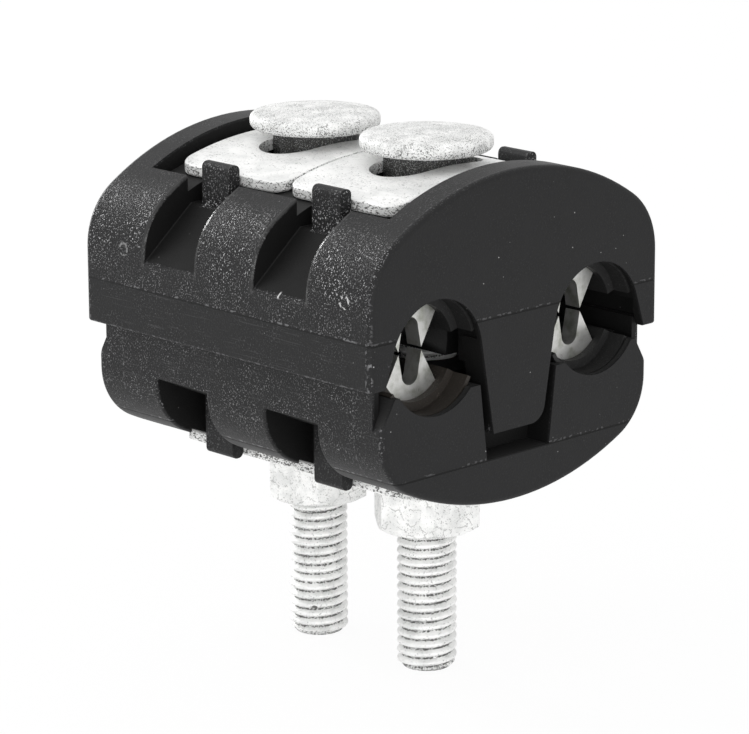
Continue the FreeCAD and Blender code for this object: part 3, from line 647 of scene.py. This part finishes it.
def makeRubber(name, colour):
    material, tree, shader, coords = newMaterial(name)
    look = rubberLook
    skin = placeGroup(
        tree,
        grainGroup,
        {
            "Coords": coords,
            "Colour": colour,
            # painted highlight: glint specks several times paler than the rubber
            "Glint": tuple(min(1.0, look["glintGain"] * part) for part in colour),
            "Grain Scale": look["grainScale"],
            "Glint Amount": look["glints"],
            "Dust Amount": look["dust"],
            "Base Roughness": look["roughness"],
        },
    )
    dressShader(tree, shader, skin["Colour"], skin["Roughness"], skin["Height"], look["grainDepth"])
    shader.inputs["Specular IOR Level"].default_value = look["specular"]
    return material


boltLook = {
    "axis": boltAxis,
    "pitch": 0.00125,
    "crestRadius": 0.00396,
    "threadDepth": 0.00070,
    "threadLength": 0.0600,
    "flank": (0.2, 0.95),
    "runOut": 0.002,
    "tipChamfer": 0.0008,
    "segments": 56,
    "rowsPerTurn": 9,
    "weld": 0.000004,
    "smoothAngle": 35,
    "cutWeld": 1e-7,
    "nick": (-0.0031, 0.0081, 0.0040),
    "rows": {"front": {"side": -1, "start": 0.15}, "rear": {"side": 1, "start": 0.6}},
}

# steps between two slopes, heights or radii, with the wear at each; on the neck and the threads it is
# painted shade
wearAndShadeLook = {
    "plateSlope": (0.35, 0.75, 0.85, 0.18),
    "nutSlope": (0.1, 0.7, 0.22, 0.5),
    "headRim": (-0.0023, -0.0012, 0.9, 0.56),
    # painted shade under the head, as dense dark pits on the neck
    "headNeck": (-0.0029, -0.0026, 2.0, 0.0),
    # painted shade in the thread's roots and on its undersides
    "threadRoots": (0.98, 0.7, 1.5, 0.0),  # in depths of the thread
    "threadUnder": (-0.65, -0.3, 0.5, 0.0),
    "threadTip": (0.0002, 0.0012, 1.0, 0.0),
    "threadNick": (0.00042, 0.0005, 3.0, 0.0),
    "threadLeast": 0.15,
}


def plateWear(tree, coords):  # the sheared edges took the zinc badly
    return fade(tree, calc(tree, "ABSOLUTE", facing(tree)), wearAndShadeLook["plateSlope"])


def nutWear(tree, coords):  # the bevels are rougher than the flats
    return fade(tree, calc(tree, "ABSOLUTE", facing(tree)), wearAndShadeLook["nutSlope"])


def headWearAndShade(tree, coords):  # the rim is rougher than the crown, and the neck under the head gets painted shade as dense dark pits
    height = axesOf(tree, coords)[2]
    rim = fade(tree, height, wearAndShadeLook["headRim"], headTop)
    return most(tree, rim, fade(tree, height, wearAndShadeLook["headNeck"], headTop))


def threadShadeAndWear(tree, coords):  # painted shade in the roots and on the undersides of the thread, darker at the very tip, and one nick near a tip, which is wear
    x, y, z = axesOf(tree, coords)
    y = calc(tree, "SUBTRACT", calc(tree, "ABSOLUTE", y), boltLook["axis"])
    crest, depth = boltLook["crestRadius"], boltLook["threadDepth"]
    deep, shallow, *wearAndShade = wearAndShadeLook["threadRoots"]
    roots = (crest - depth * deep, crest - depth * shallow, *wearAndShade)
    fromNick = addNode(tree, "ShaderNodeVectorMath", operation="DISTANCE")
    wire(tree, coords, fromNick.inputs[0])
    fromNick.inputs[1].default_value = boltLook["nick"]
    return most(
        tree,
        remap(tree, reachOf(tree, x, y), *roots),
        fade(tree, facing(tree), wearAndShadeLook["threadUnder"]),
        fade(tree, z, wearAndShadeLook["threadTip"]),
        fade(tree, fromNick.outputs["Value"], wearAndShadeLook["threadNick"]),
        wearAndShadeLook["threadLeast"],
    )


zincLook = {
    "light": (0.94, 0.94, 0.93),
    "dull": (0.77, 0.775, 0.765),
    "pit": (0.045, 0.045, 0.042),
    "metallic": 0.15,
    "bump": 0.00006,
    "kinds": {
        "plateZinc": {
            "wearAndShade": plateWear,
            "pits": 4800.0,
            "clouds": 330.0,
            "cracks": 0.12,
            "stretch": (1.0, 0.5, 1.0),
        },
        "boltZinc": {"wearAndShade": headWearAndShade, "pits": 5600.0, "clouds": 420.0, "cracks": 0.2},
        "nutZinc": {"wearAndShade": nutWear, "pits": 4800.0, "clouds": 420.0, "cracks": 0.4},
        "threadZinc": {"wearAndShade": threadShadeAndWear, "pits": 4200.0, "clouds": 420.0, "cracks": 0.0},
    },
}


def makeZinc(name):
    material, tree, shader, coords = newMaterial(name)
    kind = zincLook["kinds"][name]
    skin = placeGroup(
        tree,
        zincGroup,
        {
            "Coords": stretched(tree, coords, kind.get("stretch", (1.0, 1.0, 1.0))),
            "Light": zincLook["light"],
            "Dull": zincLook["dull"],
            "Pit": zincLook["pit"],
            "Wear And Shade": kind["wearAndShade"](tree, coords),
            "Pit Scale": kind["pits"],
            "Cloud Scale": kind["clouds"],
            "Cracks": kind["cracks"],
        },
    )
    dressShader(tree, shader, skin["Colour"], skin["Roughness"], skin["Height"], zincLook["bump"])
    shader.inputs["Metallic"].default_value = zincLook["metallic"]
    return material


bladeLook = {
    "bright": (0.72, 0.72, 0.7),
    "tarnish": (0.4, 0.41, 0.36),
    "metallic": 0.85,
    "rolling": (1.0, 1.0, 0.12),  # the marks run up the teeth
    "markScale": 3500.0,
    "markRoughness": (0.2, 0.22),
    "markDepth": 0.00001,
    "cloudScale": 500.0,
    "cloudBand": (0.4, 0.72),
}


def makeTin():
    material, tree, shader, coords = newMaterial("tinnedBlade")
    look = bladeLook
    marks = noise(tree, stretched(tree, coords, look["rolling"]), look["markScale"], detail=2.0)
    cloud = fade(tree, noise(tree, coords, look["cloudScale"], detail=4.0), look["cloudBand"])
    colour = blendColours(tree, cloud, look["bright"], look["tarnish"])
    rough = calc(tree, "MULTIPLY_ADD", marks, *look["markRoughness"])
    dressShader(tree, shader, colour, rough, marks, look["markDepth"])
    shader.inputs["Metallic"].default_value = look["metallic"]
    return material


boltZinc = makeZinc("boltZinc")
threadZinc = makeZinc("threadZinc")
finishes = {
    "upper_body": makeNylon("upperNylon", upperLook),
    "lower_body": makeNylon("lowerNylon", lowerLook),
    "lower_seal_left": makeRubber("brownRubber", rubberLook["brown"]),
}
families = {
    "plate": makeZinc("plateZinc"),
    "nut": makeZinc("nutZinc"),
    "bolt": boltZinc,
    "blade": makeTin(),
    "seal": makeRubber("blackRubber", rubberLook["black"]),
}
for name, part in nodes.items():
    finish = finishes.get(name) or next(families[word] for word in families if word in name)
    part.data.materials.clear()
    part.data.materials.append(finish)
print("materials assigned")


def makeThreadTree():
    tree = bpy.data.node_groups.new("boltThread", "GeometryNodeTree")
    addSockets(tree, "INPUT", "Geometry", "Geometry")
    addSockets(tree, "INPUT", "Float", "Pitch", "Length", "Crest Radius", "Depth", "Tip Chamfer")
    addSockets(tree, "INPUT", "Float", "Start", "Offset")
    addSockets(tree, "INPUT", "Int", "Segments", "Rows")
    addSockets(tree, "INPUT", "Material", "Material")
    addSockets(tree, "OUTPUT", "Geometry", "Geometry")
    source = addNode(tree, "NodeGroupInput").outputs
    sink = addNode(tree, "NodeGroupOutput")

    # the grid runs from -0.5 to 0.5, its X round the bolt and its Y along it
    grid = addNode(tree, "GeometryNodeMeshGrid")
    wire(tree, calc(tree, "ADD", source["Segments"], 1), grid.inputs["Vertices X"])
    wire(tree, calc(tree, "ADD", source["Rows"], 1), grid.inputs["Vertices Y"])
    gridX, gridY, _ = axesOf(tree, addNode(tree, "GeometryNodeInputPosition").outputs[0])
    around = calc(tree, "ADD", gridX, 0.5)
    along = times(tree, calc(tree, "ADD", gridY, 0.5), source["Length"])
    turns = calc(tree, "SUBTRACT", calc(tree, "DIVIDE", along, source["Pitch"]), around)
    phase = calc(tree, "FRACT", calc(tree, "ADD", turns, source["Start"]))
    flank = times(tree, awayFrom(tree, phase, 0.5), 2.0)
    toEnd = calc(tree, "SUBTRACT", source["Length"], along)
    runOut = remap(tree, toEnd, 0.0, boltLook["runOut"])
    cutIn = times(tree, fade(tree, flank, boltLook["flank"]), source["Depth"], runOut)
    threaded = calc(tree, "SUBTRACT", source["Crest Radius"], cutIn)
    tip = calc(tree, "SUBTRACT", source["Crest Radius"], source["Tip Chamfer"])
    radius = calc(tree, "MINIMUM", threaded, calc(tree, "ADD", tip, along))
    angle = times(tree, around, 2 * math.pi)
    place = addNode(tree, "ShaderNodeCombineXYZ")
    wire(tree, times(tree, calc(tree, "COSINE", angle), radius), place.inputs["X"])
    sideways = times(tree, calc(tree, "SINE", angle), radius)
    wire(tree, calc(tree, "ADD", sideways, source["Offset"]), place.inputs["Y"])
    wire(tree, along, place.inputs["Z"])
    bend = addNode(tree, "GeometryNodeSetPosition")
    wire(tree, grid.outputs["Mesh"], bend.inputs["Geometry"])
    wire(tree, place.outputs[0], bend.inputs["Position"])

    join = addNode(tree, "GeometryNodeJoinGeometry")
    wire(tree, bend.outputs[0], join.inputs[0])
    for height, rim in ((None, tip), (source["Length"], source["Crest Radius"])):  # flat ends
        disc = addNode(tree, "GeometryNodeMeshCircle", fill_type="NGON")
        wire(tree, source["Segments"], disc.inputs["Vertices"])
        wire(tree, rim, disc.inputs["Radius"])
        shape = disc.outputs["Mesh"]
        move = addNode(tree, "GeometryNodeTransform")
        spot = addNode(tree, "ShaderNodeCombineXYZ")
        wire(tree, source["Offset"], spot.inputs["Y"])
        if height is None:  # the lower end looks down
            turned = addNode(tree, "GeometryNodeFlipFaces")
            wire(tree, shape, turned.inputs["Mesh"])
            shape = turned.outputs["Mesh"]
        else:
            wire(tree, height, spot.inputs["Z"])
        wire(tree, shape, move.inputs["Geometry"])
        wire(tree, spot.outputs[0], move.inputs["Translation"])
        wire(tree, move.outputs[0], join.inputs[0])

    weld = addNode(tree, "GeometryNodeMergeByDistance")
    weld.inputs["Distance"].default_value = boltLook["weld"]
    wire(tree, join.outputs[0], weld.inputs["Geometry"])
    paint = addNode(tree, "GeometryNodeSetMaterial")
    wire(tree, weld.outputs[0], paint.inputs["Geometry"])
    wire(tree, source["Material"], paint.inputs["Material"])
    wire(tree, paint.outputs[0], sink.inputs[0])
    return tree


def addObject(name, data):
    piece = bpy.data.objects.new(name, data)
    bpy.context.scene.collection.objects.link(piece)
    return piece


def bakeNodes(name, tree, values):  # runs a tree once and keeps the plain mesh
    piece = addObject(name, bpy.data.meshes.new(name + "Start"))
    modifier = piece.modifiers.new("shape", "NODES")
    modifier.node_group = tree
    for item in tree.interface.items_tree:
        if item.name in values:
            modifier[item.identifier] = values[item.name]
    shown = piece.evaluated_get(bpy.context.evaluated_depsgraph_get())
    mesh = bpy.data.meshes.new_from_object(shown)
    piece.modifiers.clear()
    piece.data = mesh
    mesh.name = name
    return piece


def copyAbove(node, height, name, material):  # the CAD solid from that height up, closed below
    shape = bmesh.new()
    shape.from_mesh(nodes[node].data)
    bmesh.ops.remove_doubles(shape, verts=shape.verts, dist=boltLook["cutWeld"])
    cutLine = bmesh.ops.bisect_plane(
        shape,
        geom=shape.verts[:] + shape.edges[:] + shape.faces[:],
        plane_co=(0, 0, height),
        plane_no=(0, 0, 1),
        clear_inner=True,
        dist=boltLook["cutWeld"] / 10,
    )
    rim = [item for item in cutLine["geom_cut"] if isinstance(item, bmesh.types.BMEdge)]
    bmesh.ops.contextual_create(shape, geom=rim)
    mesh = bpy.data.meshes.new(name)
    shape.to_mesh(mesh)
    shape.free()
    mesh.materials.append(material)
    return addObject(name, mesh)


def joinPieces(main, other):
    with bpy.context.temp_override(active_object=main, selected_editable_objects=[main, other]):
        bpy.ops.object.join()


def smoothByAngle(piece, degrees):
    angle = math.radians(degrees)
    chosen = {"object": piece, "active_object": piece, "selected_editable_objects": [piece]}
    with bpy.context.temp_override(**chosen):
        bpy.ops.object.shade_smooth_by_angle(angle=angle, keep_sharp_edges=False)


threadTree = makeThreadTree()
for row, values in boltLook["rows"].items():
    settings = {
        "Pitch": boltLook["pitch"],
        "Length": boltLook["threadLength"],
        "Crest Radius": boltLook["crestRadius"],
        "Depth": boltLook["threadDepth"],
        "Tip Chamfer": boltLook["tipChamfer"],
        "Start": values["start"],
        "Offset": values["side"] * boltLook["axis"],
        "Segments": boltLook["segments"],
        "Rows": int(boltLook["threadLength"] / boltLook["pitch"]) * boltLook["rowsPerTurn"],
        "Material": threadZinc,
    }
    bolt = bakeNodes(row + "Bolt", threadTree, settings)
    head = copyAbove("bolt_" + row, boltLook["threadLength"], row + "BoltHead", boltZinc)
    joinPieces(bolt, head)
    smoothByAngle(bolt, boltLook["smoothAngle"])
    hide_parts("bolt_" + row)
    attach(bolt, row + "_bolt")
print("bolts threaded")

studio = {
    "floorSize": 3.0,
    "floorLevel": -0.00005,  # clear of the bolt tips
    "floorColour": (0.9, 0.9, 0.9),
    "floorRoughness": 0.9,
    "floorSpecular": 0.1,
    "floorGlow": 0.94,  # the rest of it is lit, and keeps the shadow
    "ambient": 0.86,
    "aim": (0, 0, 0.045),
    "lamps": {
        "topBox": {"place": (-0.15, 0.12, 0.75), "size": (0.7, 0.6), "power": 0.85},
        "backBox": {"place": (-0.3, 0.56, 0.5), "size": (0.35, 0.35), "power": 0.8},
        "rimBox": {"place": (0.1, 0.82, 0.17), "size": (0.14, 0.32), "power": 3.0},
        "frontBox": {"place": (-0.5, -0.68, 0.13), "size": (0.9, 0.24), "power": 2.5},
    },
}


def mixShaders(tree, factor, first, second):
    node = addNode(tree, "ShaderNodeMixShader")
    wire(tree, factor, node.inputs["Fac"])
    wire(tree, first, node.inputs[1])
    wire(tree, second, node.inputs[2])
    return node.outputs[0]


def makeFloor():
    mesh = bpy.data.meshes.new("floor")
    half = studio["floorSize"] / 2
    level = studio["floorLevel"]
    corners = [(-half, -half, level), (half, -half, level), (half, half, level), (-half, half, level)]
    mesh.from_pydata(corners, [], [(0, 1, 2, 3)])
    floor = addObject("floor", mesh)
    material = bpy.data.materials.new("paleFloor")
    material.use_nodes = True
    tree = material.node_tree
    shader = tree.nodes["Principled BSDF"]
    feed(tree, studio["floorColour"], shader.inputs["Base Color"])
    shader.inputs["Roughness"].default_value = studio["floorRoughness"]
    shader.inputs["Specular IOR Level"].default_value = studio["floorSpecular"]
    glow = addNode(tree, "ShaderNodeEmission")
    rays = addNode(tree, "ShaderNodeLightPath").outputs
    seen = most(tree, rays["Is Camera Ray"], rays["Is Glossy Ray"], rays["Is Transmission Ray"])
    seen = times(tree, seen, studio["floorGlow"])
    lit = mixShaders(tree, seen, shader.outputs[0], glow.outputs[0])
    # clear from below, so the underside can be looked at
    below = addNode(tree, "ShaderNodeNewGeometry").outputs["Backfacing"]
    clear = addNode(tree, "ShaderNodeBsdfTransparent").outputs[0]
    oneWay = mixShaders(tree, below, lit, clear)
    wire(tree, oneWay, tree.nodes["Material Output"].inputs["Surface"])
    mesh.materials.append(material)


def makeWorld():
    world = bpy.data.worlds.new("studioWorld")
    bpy.context.scene.world = world
    world.use_nodes = True
    tree = world.node_tree
    tree.nodes.clear()
    shades = []
    for strength in (studio["ambient"], 1.0):  # what lights the part, and what the camera sees
        shade = addNode(tree, "ShaderNodeBackground")
        shade.inputs["Color"].default_value = (1, 1, 1, 1)
        shade.inputs["Strength"].default_value = strength
        shades.append(shade.outputs[0])
    seen = addNode(tree, "ShaderNodeLightPath").outputs["Is Camera Ray"]
    out = addNode(tree, "ShaderNodeOutputWorld")
    wire(tree, mixShaders(tree, seen, *shades), out.inputs["Surface"])


def addSoftbox(name, place, size, power):
    lamp = bpy.data.lights.new(name, "AREA")
    lamp.shape = "RECTANGLE"
    lamp.size, lamp.size_y = size
    lamp.energy = power
    box = addObject(name, lamp)
    box.location = place
    aim = Vector(studio["aim"]) - Vector(place)
    box.rotation_euler = aim.to_track_quat("-Z", "Y").to_euler()


makeFloor()
makeWorld()
for name, lamp in studio["lamps"].items():
    addSoftbox(name, **lamp)
bpy.context.scene.view_settings.view_transform = "Standard"

view = {
    "azimuth": -43.87,
    "elevation": 14.64,
    "roll": -0.25,
    "distance": 0.50344,
    "target": (-0.00064, -0.00132, 0.03929),
    "lens": 182.64,
    "sensor": 36.0,
    "nearest": 0.01,
}


def makeCamera():
    around, lift, roll = (math.radians(view[word]) for word in ("azimuth", "elevation", "roll"))
    level = math.cos(lift)
    back = Vector((math.sin(around) * level, -math.cos(around) * level, math.sin(lift)))
    right = (-back).cross(Vector((0, 0, 1))).normalized()
    up = right.cross(-back)
    rolledRight = math.cos(roll) * right + math.sin(roll) * up
    rolledUp = math.cos(roll) * up - math.sin(roll) * right
    camera = addObject("camera", bpy.data.cameras.new("camera"))
    camera.data.lens = view["lens"]
    camera.data.sensor_width = view["sensor"]
    camera.data.sensor_fit = "HORIZONTAL"
    camera.data.clip_start = view["nearest"]
    turn = Matrix((rolledRight, rolledUp, back)).transposed().to_4x4()
    place = Vector(view["target"]) + back * view["distance"]
    camera.matrix_world = Matrix.Translation(place) @ turn
    bpy.context.scene.camera = camera


makeCamera()
print("studio set")
